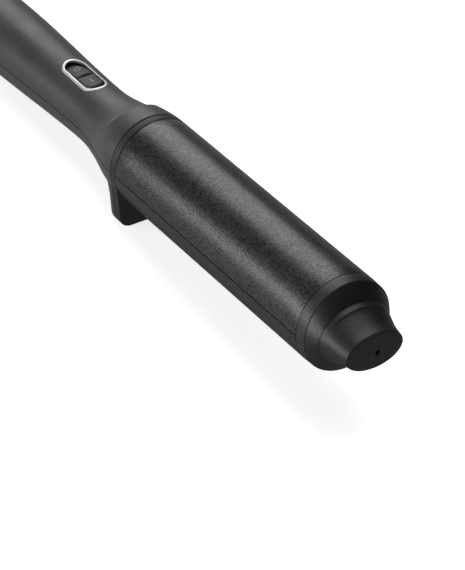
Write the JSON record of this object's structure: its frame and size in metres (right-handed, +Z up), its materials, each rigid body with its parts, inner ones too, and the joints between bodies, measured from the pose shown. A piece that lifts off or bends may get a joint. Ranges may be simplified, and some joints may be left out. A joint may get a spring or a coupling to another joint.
{
  "type": "curling wand",
  "caption": "Straight round curling wand: two coated barrel half shells, waisted handle with rocker switch, moulded rest stand, flattened cool tip and rotating cord gland.",
  "frame": {"origin": "centre of the flat face of the stand's foot, on the table that the wand rests on", "axes": "+Z up, +X towards the cool tip in the wand's vertical plane of symmetry; the wand lies as it rests, on the foot and on the rear end of the handle, so its own axis rises towards the tip by 4.5 degrees"},
  "size_m": [0.3827, 0.05, 0.0714],
  "materials": {
    "housing_plastic": "satin",
    "heatproof_plastic": "satin",
    "coated_barrel": "satin",
    "satin_trim": "satin",
    "rocker_plastic": "satin",
    "gland_plastic": "matte",
    "inner_plastic": "matte",
    "carrier_plastic": "matte",
    "board": "satin",
    "component_plastic": "satin",
    "bare_aluminium": "satin",
    "heater_ceramic": "matte",
    "spring_steel": "satin",
    "screw_steel": "satin",
    "contact_brass": "satin",
    "lead_insulation": "matte"
  },
  "bodies": {
    "wand": {"upper_housing": "housing_plastic", "lower_housing": "housing_plastic", "front_bulkhead": "heatproof_plastic", "end_band": "heatproof_plastic", "end_cap": "heatproof_plastic", "cool_tip": "heatproof_plastic", "barrel_upper_shell": "coated_barrel", "barrel_lower_shell": "coated_barrel", "switch_bezel": "satin_trim", "chassis": "inner_plastic", "switch_body": "inner_plastic", "brush_block": "inner_plastic", "barrel_carrier": "carrier_plastic", "heater_spine": "carrier_plastic", "heater_films": "carrier_plastic", "control_board": "board", "relay": "component_plastic", "filter_capacitor": "component_plastic", "controller_chip": "component_plastic", "buzzer": "component_plastic", "power_triac": "component_plastic", "heat_sink": "bare_aluminium", "heat_spreader_upper": "bare_aluminium", "heat_spreader_lower": "bare_aluminium", "thermal_fuse": "bare_aluminium", "heater_plates": "heater_ceramic", "thermistor": "heater_ceramic", "heater_springs": "spring_steel", "housing_screws": "screw_steel", "carrier_screws": "screw_steel", "tip_screw": "screw_steel", "switch_terminals": "contact_brass", "contact_brushes": "contact_brass", "heater_leads": "lead_insulation", "mains_leads": "lead_insulation"},
    "rocker": {"rocker": "rocker_plastic", "switch_plunger": "inner_plastic", "plunger_spring": "spring_steel"},
    "contact_seesaw": {"contact_blade": "contact_brass"},
    "cord_gland": {"cord_swivel": "gland_plastic", "slip_rings": "contact_brass", "swivel_clip": "spring_steel"}
  },
  "joints": [
    {"name": "rocker_tilt", "type": "hinge", "parent": "wand", "child": "rocker", "pos_m": [-0.07315, 0, 0.0379], "axis": [0, 1, 0], "range_deg": [0, 11]},
    {"name": "seesaw_tilt", "type": "hinge", "parent": "wand", "child": "contact_seesaw", "pos_m": [-0.07278, 0, 0.03327], "axis": [0, 1, 0], "range_deg": [-10, 0]},
    {"name": "cord_swivel_turn", "type": "hinge", "parent": "wand", "child": "cord_gland", "pos_m": [-0.1778, 0, 0.01914], "axis": [0.9969, 0, 0.0784], "continuous": true}
  ],
  "couplings": [
    {"joint": "seesaw_tilt", "follows": "rocker_tilt", "ratio": -0.90909}
  ]
}
